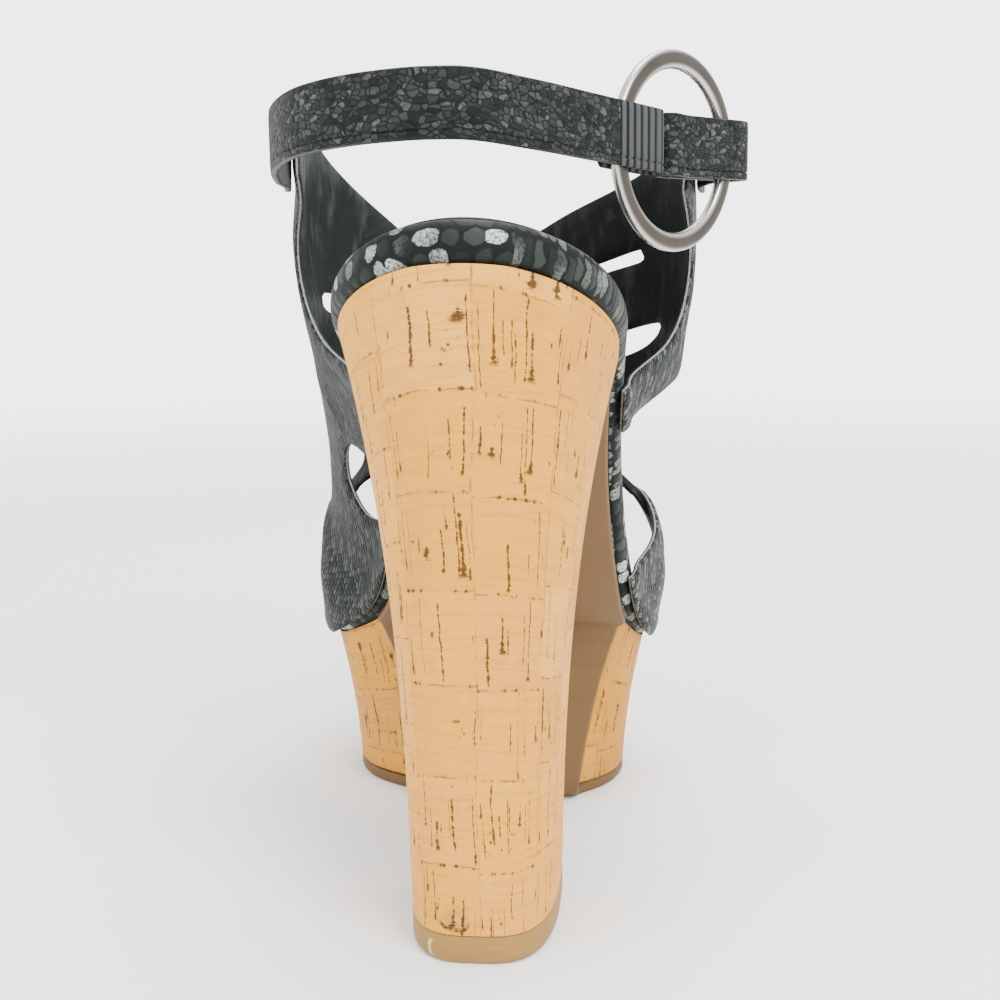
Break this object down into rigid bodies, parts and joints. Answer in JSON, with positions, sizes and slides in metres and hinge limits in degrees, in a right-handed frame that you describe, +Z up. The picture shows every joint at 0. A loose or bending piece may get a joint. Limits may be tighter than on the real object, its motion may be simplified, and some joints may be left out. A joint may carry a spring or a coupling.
{
  "type": "platform sandal",
  "caption": "High-heeled platform sandal with an open strappy upper, a slingback ankle strap joined by a metal ring, and a tapered block heel.",
  "frame": {"origin": "centre of the heel's contact face on the floor", "axes": "+Z up, +Y towards the toe, +X towards the outer side of the foot"},
  "size_m": [0.1147, 0.2098, 0.1884],
  "materials": {
    "snakeskin": "embossed scale leather, half gloss",
    "lining": "smooth dark lining leather",
    "cork": "cork veneer in patches, matt",
    "sole_leather": "smooth tan sole leather",
    "elastic": "ribbed woven elastic",
    "ring_metal": "satin nickel"
  },
  "bodies": {
    "root": {"outsole": "sole_leather", "platform": "cork", "heel": "cork", "heel_top_lift": "sole_leather", "footbed": "snakeskin", "insole": "lining", "upper": "snakeskin", "ankle_strap": "snakeskin", "elastic_gore": "elastic", "closing_strap": "snakeskin", "ring": "ring_metal"}
  },
  "joints": []
}
